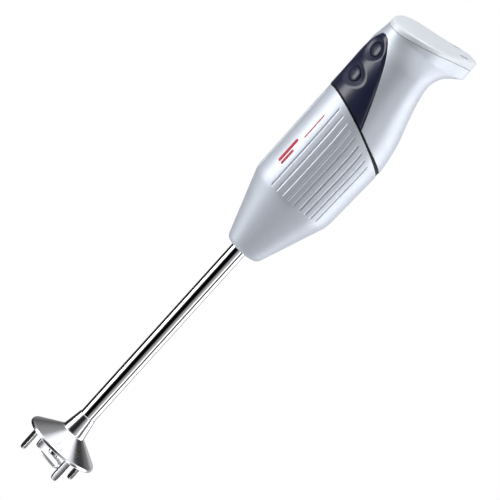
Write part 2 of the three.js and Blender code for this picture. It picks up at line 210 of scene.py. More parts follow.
def turned(
    name: str,
    profile: Sequence[tuple[float, float]],
    steps: int = 96,
    along_x_at: float | None = None,
) -> Piece:
    """Turns a closed profile round the drive axis, or round a level line along X.

    Args:
        name: The piece's name.
        profile: Points of (radius, place along the axis), in millimetres.
        steps: Faces round the piece.
        along_x_at: The height of the level line, or None for the drive axis.

    Returns:
        The new mesh object.
    """
    piece = added(name, bpy.ops.mesh.primitive_circle_add, vertices=len(profile), radius=0.01,
                  fill_type="NOTHING")
    upright = along_x_at is None
    for vertex, (radius, along) in zip(piece.data.vertices, profile, strict=True):
        vertex.co = metres(radius, 0, along) if upright else metres(along, 0, along_x_at + radius)
    centre = metres(0, 0, 0 if upright else along_x_at)
    with editing(piece):
        axis = (0, 0, 1) if upright else (1, 0, 0)
        bpy.ops.mesh.spin(steps=steps, angle=math.tau, center=centre, axis=axis)
    close_skin(piece)
    return piece


def widen(piece: Piece, factor: float) -> None:
    """Stretches a piece across, away from the middle plane.

    Args:
        piece: The mesh object.
        factor: How many times wider it becomes.
    """
    for vertex in piece.data.vertices:
        vertex.co.y *= factor


def bar(name: str, low: Point, high: Point, cuts: int = 0) -> Piece:
    """Makes a block between two corners, in millimetres, its faces cut up evenly.

    Args:
        name: The piece's name.
        low: The lowest corner.
        high: The highest corner.
        cuts: Cuts across each face.

    Returns:
        The new mesh object.
    """
    piece = added(name, bpy.ops.mesh.primitive_cube_add, size=1)
    for vertex in piece.data.vertices:
        mix = [c + 0.5 for c in vertex.co]
        vertex.co = metres(*(a + (b - a) * t for a, b, t in zip(low, high, mix, strict=True)))
    if cuts:
        with editing(piece):
            bpy.ops.mesh.subdivide(number_cuts=cuts)
    return piece


def drawn_up(
    name: str, outline: Sequence[tuple[float, float]], low: float, high: float
) -> Piece:
    """Draws a flat outline upwards to a solid.

    Args:
        name: The piece's name.
        outline: Points of (x, y) in millimetres.
        low: The height of its underside.
        high: The height of its top.

    Returns:
        The new mesh object.
    """
    piece = added(name, bpy.ops.mesh.primitive_circle_add, vertices=len(outline), radius=0.01,
                  fill_type="NGON")
    for vertex, (x, y) in zip(piece.data.vertices, outline, strict=True):
        vertex.co = metres(x, y, low)
    with editing(piece):
        bpy.ops.mesh.extrude_region_move(
            TRANSFORM_OT_translate={"value": (0, 0, (high - low) * MM)}
        )
    close_skin(piece)
    return piece


def spun(piece: Piece, turn: float) -> Piece:
    """Turns a piece's mesh about the drive axis by some degrees and gives the piece back."""
    centre = Vector(metres(0, 0, 0))
    spin = Matrix.Rotation(math.radians(turn), 4, "Z")
    piece.data.transform(Matrix.Translation(centre) @ spin @ Matrix.Translation(-centre))
    return piece


def copied(piece: Piece, name: str) -> Piece:
    """Copies a piece with a mesh of its own."""
    copy = piece.copy()
    copy.data = piece.data.copy()
    bpy.context.scene.collection.objects.link(copy)
    return named(copy, name)


def combine(piece: Piece, other: Piece, how: str = "DIFFERENCE") -> None:
    """Cuts one piece with another, or melts them together, and removes the other.

    Args:
        piece: The piece that stays.
        other: The cutter, or the piece that is added.
        how: DIFFERENCE or UNION.
    """
    modify(piece, "BOOLEAN", object=other, operation=how, solver="EXACT")
    bpy.data.objects.remove(other)


def thicken(piece: Piece, wall: float) -> None:
    """Gives a skin its wall, in millimetres, on the inside."""
    modify(piece, "SOLIDIFY", thickness=wall * MM, offset=-1)


def bevel(piece: Piece, width: float, segments: int, angle: float) -> None:
    """Rounds the edges of a piece that are sharper than an angle.

    Args:
        piece: The mesh object.
        width: The rounding in millimetres.
        segments: Faces across the rounding.
        angle: The angle in degrees.
    """
    modify(piece, "BEVEL", width=width * MM, segments=segments, limit_method="ANGLE",
           angle_limit=math.radians(angle))


def soften(piece: Piece, width: float, segments: int = 2, angle: float = 35) -> None:
    """Rounds a piece's sharp edges and smooths the rest.

    Args:
        piece: The mesh object.
        width: The rounding in millimetres, or 0 for none.
        segments: Faces across the rounding.
        angle: Edges sharper than this, in degrees, are rounded.
    """
    if width:
        bevel(piece, width, segments, angle)
    pick_only(piece)
    bpy.ops.object.shade_smooth_by_angle(angle=math.radians(angle))


def rounded(corners: Sequence[tuple[float, ...]], steps: int = 5) -> list[tuple[float, float]]:
    """Rounds the corners of a closed outline.

    Args:
        corners: Points of (across, along) with an optional radius of rounding.
        steps: Faces across each rounding.

    Returns:
        The outline's points.
    """
    points: list[tuple[float, float]] = []
    for i, corner in enumerate(corners):
        here = Vector(corner[:2])
        if len(corner) < 3:
            points.append(tuple(here))
            continue
        ends = []
        for other in (corners[i - 1], corners[(i + 1) % len(corners)]):
            arm = Vector(other[:2]) - here
            ends.append(here + arm.normalized() * min(corner[2], arm.length * 0.45))
        for k in range(steps + 1):
            t = k / steps
            points.append(tuple(ends[0] * (1 - t) ** 2 + here * 2 * t * (1 - t) + ends[1] * t * t))
    return points


# ---- smooth curves ----


def smooth_step(value: float, low: float, high: float) -> float:
    """Runs from 0 at low to 1 at high with a soft start and end."""
    t = min(max((value - low) / (high - low), 0.0), 1.0)
    return t * t * (3 - 2 * t)


def smooth_max(a: float, b: float, blend: float) -> float:
    """The larger of two values, with a rounded turn between them."""
    h = max(blend - abs(a - b), 0.0) / blend
    return max(a, b) + h * h * blend / 4


class Curve:
    """A smooth line through points that never swings past them."""

    def __init__(self, points: Sequence[tuple[float, float]]) -> None:
        """Works out the slope at each point.

        Args:
            points: (place, value) pairs in rising order of place.
        """
        self.points = points
        steps = [
            (b[1] - a[1]) / (b[0] - a[0]) for a, b in zip(points, points[1:], strict=False)
        ]
        self.slopes = [steps[0]]
        for a, b in zip(steps, steps[1:], strict=False):
            self.slopes.append(2 * a * b / (a + b) if a * b > 0 else 0.0)
        self.slopes.append(0.0)

    def at(self, place: float) -> float:
        """The value at a place, held level past both ends."""
        points = self.points
        if place <= points[0][0]:
            return points[0][1]
        if place >= points[-1][0]:
            return points[-1][1]
        i = next(k for k, p in enumerate(points) if p[0] > place) - 1
        (x0, y0), (x1, y1) = points[i], points[i + 1]
        step, t = x1 - x0, (place - x0) / (x1 - x0)
        m0, m1 = self.slopes[i] * step, self.slopes[i + 1] * step
        return (
            (2 * t**3 - 3 * t * t + 1) * y0 + (t**3 - 2 * t * t + t) * m0
            + (3 * t * t - 2 * t**3) * y1 + (t**3 - t * t) * m1
        )


def spaced(line: Sequence[Vector], count: int) -> list[Vector]:
    """Points at equal distances along a line.

    Args:
        line: The line's own points.
        count: How many spaces there are.

    Returns:
        count + 1 points from its start to its end.
    """
    lengths = [0.0]
    for a, b in zip(line, line[1:], strict=False):
        lengths.append(lengths[-1] + (b - a).length)
    points, k = [], 0
    for i in range(count + 1):
        reach = lengths[-1] * i / count
        while k < len(line) - 2 and lengths[k + 1] < reach:
            k += 1
        span = lengths[k + 1] - lengths[k] or 1.0
        points.append(line[k].lerp(line[k + 1], (reach - lengths[k]) / span))
    return points


@dataclass(frozen=True)
class CasingShape:
    """The outside of housing and handle: ellipses up to the neck, then a swept teardrop."""

    sections: tuple[tuple[float, float, float, float], ...] = (
        (199.5, 2.3, 10.6, 10.6), (200.3, 2.3, 12.5, 12.5), (202.2, 2.4, 14.0, 13.9),
        (206.0, 2.48, 15.38, 15.23), (225.0, 2.91, 22.3, 21.9), (241.0, 3.26, 28.14, 27.5),
        (245.0, 3.35, 29.6, 28.9), (249.0, 3.4, 30.9, 29.8), (253.0, 3.5, 31.4, 30.1),
        (275.0, 4.0, 31.9, 30.4), (298.0, 4.4, 32.5, 30.6), (310.0, 3.6, 31.8, 30.2),
        (322.0, 2.1, 30.4, 29.4), (334.0, -0.2, 28.2, 28.2), (346.0, -2.5, 26.1, 27.1),
        (356.0, -4.1, 24.7, 26.4), (365.0, -4.9, 24.0, 26.0),
    )
    neck: float = 365.0
    rim: float = 380.5
    flare: float = 1.75
    drop_x: float = -4.5
    drop_front: float = 24.8
    drop_side: float = 20.0
    tail: float = 40.3
    tail_half: float = 6.8
    flank: tuple[float, float, float] = (15.0, 27.0, 4.2)
    corner: tuple[float, float] = (4.5, 0.8)
    count: int = 240
    dense: int = 1440
    curves: list[Curve] = field(default_factory=list)
    neck_angles: list[float] = field(default_factory=list)
    drops: dict[float, list[Vector]] = field(default_factory=dict)

    def __post_init__(self) -> None:
        """Fits the curves through the sections and spaces the neck's outline."""
        for k in (1, 2, 3):
            self.curves.append(Curve([(s[0], s[k]) for s in self.sections]))
        _, x, a, b = self.sections[-1]
        turns = [math.pi + math.tau * i / self.dense for i in range(self.dense + 1)]
        line = [Vector((x + a * math.cos(t), b * math.sin(t))) for t in turns]
        for p in spaced(line, self.count):
            self.neck_angles.append(math.atan2(p.y / b, (p.x - x) / a))

    def section(self, z: float) -> tuple[float, float, float]:
        """The middle, half length and half width of the ellipse at a height."""
        return tuple(curve.at(z) for curve in self.curves)

    def teardrop(self, inset: float) -> list[Vector]:
        """The top outline, from the front round by the near side, at equal distances.

        Args:
            inset: How far inside the full outline it runs.

        Returns:
            One point for each share of the outline, the first one again at the end.
        """
        if inset not in self.drops:
            end, half, wide = self.tail - inset, self.tail_half - inset, self.drop_side - inset
            x, a = self.drop_x, self.drop_front - inset
            line = [
                Vector((x + a * math.cos(t), wide * math.sin(t)))
                for t in (math.pi * (1 + i / 120) for i in range(61))
            ]
            near_arm, far_arm, hip = self.flank
            back, side = self.corner
            bend = [(x, -wide), (x + near_arm, -wide), (x + far_arm, -half - hip),
                    (end - back, -half - side)]
            steps = 60
            for i in range(1, steps + 1):
                t = i / steps
                shares = ((1 - t) ** 3, 3 * t * (1 - t) ** 2, 3 * t * t * (1 - t), t**3)
                line.append(sum((Vector(p) * s for p, s in zip(bend, shares, strict=True)),
                                Vector((0, 0))))
            start, turn, stop = (Vector(p) for p in (bend[-1], (end, -half), (end, -half / 2)))
            steps = 24
            for i in range(1, steps + 1):
                t = i / steps
                line.append(start * (1 - t) ** 2 + turn * 2 * t * (1 - t) + stop * t * t)
            line.append(Vector((end, 0)))
            near = spaced(line, self.count // 2)
            self.drops[inset] = near + [Vector((p.x, -p.y)) for p in reversed(near[:-1])]
        return self.drops[inset]

    def at(self, share: float, z: float, inset: float = 0.0) -> tuple[float, float]:
        """A point of the outline at a height.

        Args:
            share: Its place round the outline, 0 at the front and 0.5 at the tail.
            z: The height.
            inset: How far inside the skin it lies.

        Returns:
            Its x and y.
        """
        place = (share % 1.0) * self.count
        k = int(place)
        part = place - k
        turn, after = self.neck_angles[k], self.neck_angles[k + 1]
        if after < turn - math.pi:
            after += math.tau
        turn += (after - turn) * part
        x, a, b = self.section(z)
        round_x, round_y = x + (a - inset) * math.cos(turn), (b - inset) * math.sin(turn)
        if z <= self.neck:
            return round_x, round_y
        mix = min((z - self.neck) / (self.rim - self.neck), 1.0) ** self.flare
        drop = self.teardrop(inset)
        tip = drop[k].lerp(drop[k + 1], part)
        return round_x + (tip.x - round_x) * mix, round_y + (tip.y - round_y) * mix


@dataclass(frozen=True)
class Seam:
    """The sloping joint of housing and handle with its rubber ring."""

    z: float = 311.3
    slope: float = 0.5
    half: float = 0.7
    gap: float = 0.08
    widening: float = 1.6
    widens_from: float = -5.0
    widens_to: float = 30.0

    def height(self, x: float, side: float, clear: bool = True) -> float:
        """The height of one edge of the joint.

        Args:
            x: The place along the handle.
            side: -1 for the housing's edge and 1 for the handle's.
            clear: Whether the gap beside the rubber ring is added.

        Returns:
            The height in millimetres.
        """
        reach = self.half + (self.gap if clear else 0.0)
        if side > 0:
            reach += self.widening * smooth_step(x, self.widens_from, self.widens_to)
        return self.z - self.slope * x + side * reach * math.hypot(1, self.slope)


@dataclass(frozen=True)
class PanelEdge:
    """The leaning plane at the rear edge of the switch panel."""

    top: float = 373.8
    front: float = -28.9
    slope: float = 0.3146
    step: float = 0.5
    halvings: int = 26

    def x(self, z: float) -> float:
        """Where the plane stands at a height."""
        return self.front + self.slope * (self.top - z)

    def share(self, casing: CasingShape, z: float, back: float = 0.0) -> float:
        """How far round the outline the panel reaches at a height, 0 above its tip.

        Args:
            casing: The outside shape.
            z: The height.
            back: How far behind the plane the edge lies.

        Returns:
            A share of the outline from the front.
        """
        aim = self.x(z) + back
        if casing.at(0, z)[0] >= aim:
            return 0.0
        low, high = 0.0, 0.5
        for _ in range(self.halvings):
            middle = (low + high) / 2
            if casing.at(middle, z)[0] < aim:
                low = middle
            else:
                high = middle
        return low

    def reach(self, low: float, back: float = 0.0) -> Curve:
        """The panel's share of the outline by height, from a low height to above its tip."""
        count = math.ceil((self.top - low) / self.step) + 1
        heights = [low + self.step * i for i in range(count)]
        return Curve([(z, self.share(CASING, z, back)) for z in heights])


CASING = CasingShape()
SEAM = Seam()
EDGE = PanelEdge()
GIRTH = 31.2  # the mean radius of the housing where it is grooved and printed


def settled(share_at: Callable[[float], float]) -> float:
    """Finds the height at which a column of the mesh meets the handle's edge of the joint.

    Args:
        share_at: The column's share of the outline at a height.

    Returns:
        The height.
    """
    z = SEAM.z
    for _ in range(16):
        z = SEAM.height(CASING.at(share_at(z), z)[0], 1)
    return z


COVER_SEAM = Curve(((-31, 380), (-20, 383.2), (-10, 385.3), (0, 386.7), (12, 387.7), (42, 388.4)))
COVER_TOP = Curve(((-31, 384.4), (-20, 387.6), (-10, 389.3), (0, 390.4), (13, 391.6), (42, 395.3)))


# ---- finishes ----


class Wiring:
    """A short way to add and join the nodes of a tree."""

    def __init__(self, tree: bpy.types.NodeTree) -> None:
        """Keeps the tree."""
        self.tree = tree

    def node(self, kind: str, inputs: dict | None = None, **settings: object) -> bpy.types.Node:
        """Adds a node.

        Args:
            kind: The node's type without its ShaderNode prefix.
            inputs: Values or output sockets by input name or number.
            settings: Values for the node's own properties.

        Returns:
            The node.
        """
        made = self.tree.nodes.new(kind if kind.startswith("Node") else "ShaderNode" + kind)
        for name, value in settings.items():
            setattr(made, name, value)
        for key, value in (inputs or {}).items():
            if isinstance(value, Socket):
                self.tree.links.new(value, made.inputs[key])
            else:
                made.inputs[key].default_value = value
        return made

    def math(self, how: str, a: object, b: object = 0.0, clamp: bool = False) -> Socket:
        """Adds a Math node and returns its result."""
        return self.node("Math", {0: a, 1: b}, operation=how, use_clamp=clamp).outputs[0]

    def scaled(self, value: object, low: float, high: float, start: float = 0.0,
               end: float = 1.0) -> Socket:
        """Adds a Map Range node from start..end to low..high and returns its result."""
        return self.node("MapRange", {0: value, 1: start, 2: end, 3: low, 4: high}).outputs[0]

    def tint(self, share: object, a: object, b: object) -> Socket:
        """Mixes two colours by a share and returns the result."""
        return self.node("Mix", {0: share, 6: a, 7: b}, data_type="RGBA").outputs[2]

    def noise(self, place: Socket, scale: object, detail: float, roughness: float = 0.5,
              distortion: float = 0.0) -> Socket:
        """Adds a noise texture and returns its value."""
        return self.node("TexNoise", {"Vector": place, "Scale": scale, "Detail": detail,
                                      "Roughness": roughness, "Distortion": distortion}).outputs[0]

    def ramp(self, value: object, stops: Sequence[tuple[float, float]]) -> Socket:
        """Adds a grey ColorRamp.

        Args:
            value: What drives it.
            stops: (place, brightness) pairs.

        Returns:
            Its colour.
        """
        node = self.node("ValToRGB", {0: value})
        elements = node.color_ramp.elements
        elements[0].position, elements[1].position = stops[0][0], stops[-1][0]
        for place, _ in stops[1:-1]:
            elements.new(place)
        for element, (_, level) in zip(elements, stops, strict=True):
            element.color = (level, level, level, 1)
        return node.outputs[0]


def emptied(owner: bpy.types.Material | bpy.types.World) -> Wiring:
    """Clears the node tree of a material or a world and gives its wiring back."""
    owner.use_nodes = True
    owner.node_tree.nodes.clear()
    return Wiring(owner.node_tree)


def new_group(name: str, inputs: dict[str, float | None], outputs: Sequence[str]) -> Wiring:
    """Makes an empty node group.

    Args:
        name: The group's name.
        inputs: The default of each number input, or None for a vector input.
        outputs: The names of the number outputs.

    Returns:
        The wiring of its tree.
    """
    tree = bpy.data.node_groups.new(name, "ShaderNodeTree")
    for label, default in inputs.items():
        kind = "NodeSocketVector" if default is None else "NodeSocketFloat"
        socket = tree.interface.new_socket(name=label, in_out="INPUT", socket_type=kind)
        if default is not None:
            socket.default_value = default
    for label in outputs:
        tree.interface.new_socket(name=label, in_out="OUTPUT", socket_type="NodeSocketFloat")
    return Wiring(tree)


def grain_group() -> bpy.types.NodeTree:
    """Builds the fine grain of a moulded or painted skin, as a height and a fleck mask."""
    wires = new_group("fine_grain", {"Place": None, "Scale": 1500.0}, ("Height", "Fleck"))
    given = wires.node("NodeGroupInput")
    noise = wires.noise(given.outputs[0], given.outputs[1], 3.0, 0.6)
    cells = wires.node("TexVoronoi", {"Vector": given.outputs[0], "Scale": given.outputs[1]})
    height = wires.math("ADD", noise, wires.math("MULTIPLY", cells.outputs[0], 0.4))
    fleck = wires.scaled(noise, 0, 1, 0.42, 0.62)
    wires.node("NodeGroupOutput", {0: height, 1: fleck})
    return wires.tree


def streak_group() -> bpy.types.NodeTree:
    """Builds the fine lines that grinding or polishing leaves, round or along a piece."""
    wires = new_group("fine_streaks", {"Place": None, "Scale": 900.0}, ("Height", "Streak"))
    given = wires.node("NodeGroupInput")
    noise = wires.noise(given.outputs[0], given.outputs[1], 4.0, 0.7)
    streak = wires.scaled(noise, 0, 1, 0.35, 0.65)
    wires.node("NodeGroupOutput", {0: noise, 1: streak})
    return wires.tree


def wear_group() -> bpy.types.NodeTree:
    """Builds the marks of use: broad smudges, worn edges, and dust where a face looks up."""
    wires = new_group("marks_of_use", {"Place": None, "Scale": 60.0}, ("Smudge", "Edge", "Dust"))
    given = wires.node("NodeGroupInput")
    broad = wires.noise(given.outputs[0], given.outputs[1], 5.0, 0.55, 0.6)
    smudge = wires.scaled(broad, 0, 1, 0.38, 0.68)
    shape = wires.node("NewGeometry")
    edge = wires.scaled(shape.outputs["Pointiness"], 0, 1, 0.53, 0.62)
    up = wires.node("SeparateXYZ", {0: shape.outputs["Normal"]}).outputs[2]
    fine = wires.noise(given.outputs[0], 700.0, 2.0)
    dust = wires.math("MULTIPLY", wires.scaled(up, 0, 1, 0.6, 1.0),
                      wires.scaled(fine, 0, 1, 0.5, 0.75))
    wires.node("NodeGroupOutput", {0: smudge, 1: wires.math("MULTIPLY", edge, smudge), 2: dust})
    return wires.tree


GROUPS = {"grain": grain_group(), "streaks": streak_group(), "wear": wear_group()}
DUST = (0.6, 0.58, 0.55, 1)
WHITE = (1, 1, 1, 1)


class Pattern(Enum):
    """The fine pattern in a finish."""

    GRAIN = "grain"
    STREAKS = "streaks"


@dataclass(frozen=True)
class Finish:
    """A finish with a fine pattern, smudges, edge wear and dust."""

    slot: Slot
    color: Colour
    metallic: float = 0.0
    roughness: float = 0.4
    pattern: Pattern = Pattern.GRAIN
    scale: float = 1500.0
    stretch: tuple[float, float, float] = (1.0, 1.0, 1.0)
    bump: float = 0.1
    depth: float = 0.02
    mottle: float = 0.06
    smudge: float = 0.08
    worn: Colour | None = None
    dust: float = 0.04
    coat: float = 0.0
    coat_roughness: float = 0.1
    specular: float = 0.5
    band: Colour | None = None
    band_pitch: float = 0.5
    band_axis: str = "Z"

    def banded(self, wires: Wiring, place: Socket, height: Socket,
               tone: Socket) -> tuple[Socket, Socket]:
        """Adds level bands, such as stacked sheets or wound wire.

        Args:
            wires: The material's wiring.
            place: The piece's own coordinates.
            height: The height of the pattern so far.
            tone: The colour so far.

        Returns:
            The new height and colour.
        """
        bands_in_texture = math.tau / 20
        scale = bands_in_texture / (self.band_pitch * MM)
        wave = wires.node("TexWave", {"Vector": place, "Scale": scale, "Distortion": 0.6,
                                      "Detail": 1.0}, bands_direction=self.band_axis)
        line = wires.scaled(wave.outputs["Fac"], 0, 1, 0.1, 0.6)
        taller = wires.math("ADD", wires.math("MULTIPLY", height, 0.2), line)
        return taller, wires.tint(line, (*self.band, 1), tone)

    def build(self) -> bpy.types.Material:
        """Makes the material with its nodes."""
        material = bpy.data.materials.new(self.slot.value)
        wires = emptied(material)
        place = wires.node("TexCoord").outputs["Object"]
        stretched = wires.node("Mapping", {"Vector": place, "Scale": self.stretch}).outputs[0]
        fine = wires.node("Group", node_tree=GROUPS[self.pattern.value])
        wires.tree.links.new(stretched, fine.inputs[0])
        fine.inputs[1].default_value = self.scale
        wear = wires.node("Group", node_tree=GROUPS["wear"])
        wires.tree.links.new(place, wear.inputs[0])
        dark = tuple(c * (1 - self.mottle) for c in self.color) + (1,)
        light = tuple(min(c * (1 + self.mottle), 1) for c in self.color) + (1,)
        tone = wires.tint(fine.outputs[1], dark, light)
        height = fine.outputs[0]
        if self.band:
            height, tone = self.banded(wires, place, height, tone)
        if self.worn:
            share = wires.math("MULTIPLY", wear.outputs["Edge"], 0.5)
            tone = wires.tint(share, tone, (*self.worn, 1))
        dusty = wires.math("MULTIPLY", wear.outputs["Dust"], self.dust)
        tone = wires.tint(dusty, tone, DUST)
        uneven = wires.math("MULTIPLY", wear.outputs["Smudge"], self.smudge)
        rough = wires.math("ADD", uneven, wires.scaled(fine.outputs[1], self.roughness - 0.02,
                                                       self.roughness + 0.02), clamp=True)
        bump = wires.node("Bump", {"Strength": self.bump, "Distance": self.depth * MM,
                                   "Height": height})
        shader = wires.node("BsdfPrincipled", {
            "Base Color": tone, "Metallic": self.metallic, "Roughness": rough,
            "Normal": bump.outputs[0], "Coat Weight": self.coat,
            "Coat Roughness": self.coat_roughness, "Specular IOR Level": self.specular,
        })
        wires.node("OutputMaterial", {"Surface": shader.outputs[0]})
        return material


def palette() -> dict[Slot, bpy.types.Material]:
    """Makes every material of the object, by slot."""
    finishes = [
        Finish(Slot.HOUSING, (0.64, 0.685, 0.76), metallic=0.45, roughness=0.47, scale=2600,
               bump=0.08, mottle=0.05, smudge=0.05, worn=(0.8, 0.82, 0.86), dust=0.05),
        Finish(Slot.SEAL, (0.006, 0.006, 0.008), roughness=0.6, specular=0.25, scale=2200,
               bump=0.2, dust=0.08),
        Finish(Slot.PANEL, (0.013, 0.015, 0.046), roughness=0.3, scale=2400, bump=0.06,
               mottle=0.12, smudge=0.08, worn=(0.07, 0.08, 0.15), coat=0.26, coat_roughness=0.2,
               dust=0.03),
        Finish(Slot.COVER, (0.76, 0.80, 0.85), metallic=0.1, roughness=0.42, scale=1900,
               bump=0.12, mottle=0.03, smudge=0.06, worn=(0.9, 0.91, 0.93), dust=0.05),
        Finish(Slot.RUBBER, (0.016, 0.016, 0.017), roughness=0.6, bump=0.25, scale=1700, dust=0.1),
        Finish(Slot.TUBE, (0.90, 0.905, 0.925), metallic=1.0, roughness=0.02,
               pattern=Pattern.STREAKS, scale=700, stretch=(1, 1, 0.06), bump=0.015, depth=0.01,
               mottle=0.015, smudge=0.015, dust=0.0),
        Finish(Slot.GUARD, (0.89, 0.895, 0.93), metallic=1.0, roughness=0.15,
               pattern=Pattern.STREAKS, scale=800, stretch=(0.6, 0.6, 1), bump=0.02, depth=0.01,
               mottle=0.02, smudge=0.03, dust=0.0),
        Finish(Slot.NYLON, (0.78, 0.76, 0.70), roughness=0.5, bump=0.12, mottle=0.04,
               worn=(0.85, 0.84, 0.8)),
        Finish(Slot.BRASS, (0.66, 0.47, 0.20), metallic=1.0, roughness=0.3,
               pattern=Pattern.STREAKS, stretch=(0.1, 0.1, 1), bump=0.08, mottle=0.15,
               worn=(0.85, 0.7, 0.4)),
        Finish(Slot.STEEL, (0.60, 0.61, 0.63), metallic=1.0, roughness=0.26,
               pattern=Pattern.STREAKS, stretch=(0.1, 0.1, 1), bump=0.06, mottle=0.1,
               worn=(0.8, 0.8, 0.8)),
        Finish(Slot.BLADE, (0.68, 0.69, 0.71), metallic=1.0, roughness=0.19,
               pattern=Pattern.STREAKS, scale=1100, stretch=(1, 0.08, 1), bump=0.05, mottle=0.08,
               smudge=0.1, worn=(0.9, 0.9, 0.92)),
        Finish(Slot.IRON, (0.30, 0.31, 0.33), metallic=0.9, roughness=0.45, bump=0.5, depth=0.05,
               mottle=0.15, band=(0.10, 0.10, 0.11)),
        Finish(Slot.COPPER, (0.62, 0.27, 0.11), metallic=0.9, roughness=0.3, bump=0.7, depth=0.12,
               mottle=0.1, band_pitch=0.4, band=(0.22, 0.07, 0.02), coat=0.4),
        Finish(Slot.CARBON, (0.035, 0.036, 0.04), metallic=0.2, roughness=0.5, bump=0.3,
               mottle=0.3),
        Finish(Slot.MOULDING, (0.02, 0.02, 0.023), roughness=0.38, bump=0.12, mottle=0.2,
               worn=(0.12, 0.12, 0.13)),
        Finish(Slot.BOARD, (0.03, 0.14, 0.06), roughness=0.35, bump=0.1, depth=0.01,
               band_pitch=1.2, band_axis="Y", band=(0.02, 0.10, 0.045), coat=0.3),
        Finish(Slot.INK, (0.52, 0.006, 0.03), roughness=0.4, specular=0.3, scale=2600, bump=0.05,
               mottle=0.06, worn=(0.45, 0.05, 0.06), dust=0.0),
        Finish(Slot.CAPACITOR, (0.62, 0.36, 0.04), roughness=0.25, bump=0.05, coat=0.4,
               mottle=0.08),
    ]
    return {finish.slot: finish.build() for finish in finishes}


MATERIALS = palette()


def dress(piece: Piece, slot: Slot, body: Body, *stands_for: str) -> None:
    """Gives a finished piece its material, its body and the nodes that it stands for.

    Args:
        piece: The mesh object.
        slot: The record's slot with the finish; the ink has none there.
        body: The body that it rides on.
        stands_for: The CAD nodes that it replaces.
    """
    piece.data.materials.clear()
    piece.data.materials.append(MATERIALS[slot])
    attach(piece, body.value)
    if stands_for:
        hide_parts(*stands_for)
    log.info("%s: %d faces, rides on %s", piece.name, len(piece.data.polygons), body.value)


# ---- sub-assemblies ----


@dataclass(frozen=True)
class MotorHousing:
    """The conical nose and the grooved grip of the motor housing."""

    mouth: float = 6.15
    wall: float = 2.2
    grooves: int = 9
    first: float = 24.4
    pitch: float = 9.45
    half_width: float = 0.7
    groove_depth: float = 0.45
    groove_low: float = 250.0
    groove_top: float = 5.0
    groove_floor: float = 0.15
    groove_edge: float = 1.05
    foot: float = 199.5

    def columns(self) -> list[float]:
        """The angles of the mesh's columns from the front, in degrees, closer in the grooves."""
        side, near = [i * 2.6 for i in range(9)], (0.3, 0.7, 1.1, 1.5, 1.9, 2.3)
        for i in range(self.grooves):
            middle = self.first + i * self.pitch
            side += [middle + sign * away for sign, steps in ((-1, near[::-1]), (1, near))
                     for away in steps]
            side.append(middle + self.pitch / 2)
        last, behind = side[-1], 22
        side += [last + (180 - last) * i / behind for i in range(1, behind + 1)]
        return side + [360 - a for a in reversed(side[:-1])]

    def depth(self, angle: float, z: float, top: float) -> float:
        """How deep a groove is at a point.

        Args:
            angle: Degrees round from the front.
            z: The height.
            top: The height of the housing's upper edge there.

        Returns:
            The depth in millimetres.
        """
        near = min(angle, 360 - angle)
        groove = min(max(round((near - self.first) / self.pitch), 0), self.grooves - 1)
        across = math.radians(near - self.first - groove * self.pitch) * GIRTH
        low, high = self.groove_low + self.half_width, top - self.groove_top - self.half_width
        past = max(low - z, z - high, 0.0)
        away = math.hypot(across, past)
        return self.groove_depth * (1 - smooth_step(away, self.groove_floor, self.groove_edge))

    def rows(self) -> list[Callable[[float], float]]:
        """The heights of the mesh's rows, each as a function of the upper edge's height."""
        fixed = [self.foot, 199.6, 199.85, 200.2, 200.7, 201.3, 202.2, 203.5, 206]
        fixed += [210 + 5 * i for i in range(7)] + [243, 245.5, 247.5]
        fixed += [248.6 + 0.4 * i for i in range(13)]
        start = fixed[-1]
        rows: list[Callable[[float], float]] = [lambda top, z=z: z for z in fixed]
        rows += [lambda top, t=i / 9: start + t * (top - 8 - start) for i in range(1, 10)]
        below = [7.6 - 0.4 * i for i in range(13)] + [2.0, 1.2, 0.6, 0.25, 0.0]
        rows += [lambda top, d=d: top - d for d in below]
        return rows

    def build(self) -> None:
        """Wraps the skin, gives it a wall and rounds its edges."""
        columns, rows = self.columns(), self.rows()

        def place(column: int, row: int) -> Point:
            """Gives the point of one column and row."""
            angle = columns[column]
            turn = math.radians(180 + angle)
            if row == 0:
                return self.mouth * math.cos(turn), self.mouth * math.sin(turn), self.foot
            top = 311.0
            for _ in range(8):
                x, a, _b = CASING.section(top)
                top = SEAM.height(x + a * math.cos(turn), -1)
            z = rows[row - 1](top)
            x, a, b = CASING.section(z)
            reach = Vector((math.cos(turn) / a, math.sin(turn) / b)).normalized()
            cut = self.depth(angle, z, top)
            return (x + a * math.cos(turn) - cut * reach.x, b * math.sin(turn) - cut * reach.y, z)

        shell = wrapped("motor_housing", len(columns) - 1, len(rows), place)
        thicken(shell, self.wall)
        soften(shell, 0.22, 2, 50)
        dress(shell, Slot.HOUSING, Body.CASING, "lower_housing")


@dataclass(frozen=True)
class SealRing:
    """The rubber ring in the joint of housing and handle."""

    outer: float = 0.45
    inner: float = 2.8
    lip: float = 0.3

    def build(self) -> None:
        """Wraps a rounded strip round the joint."""
        columns = 180
        strip = rounded([(self.inner, -1.0), (self.outer, -1.0, self.lip),
                         (self.outer, 1.0, self.lip), (self.inner, 1.0)], 4)

        def place(column: int, row: int) -> Point:
            """Gives the point of one column and row."""
            inset, side = strip[row % len(strip)]
            share, x = column / columns, 0.0
            for _ in range(7):
                low, high = SEAM.height(x, -1, False), SEAM.height(x, 1, False)
                z = (low + high) / 2 + side * (high - low) / 2
                x, y = CASING.at(share, z, inset)
            return x, y, z

        ring = wrapped("seal_ring", columns, len(strip), place)
        soften(ring, 0)
        dress(ring, Slot.SEAL, Body.CASING, "seam_gasket")


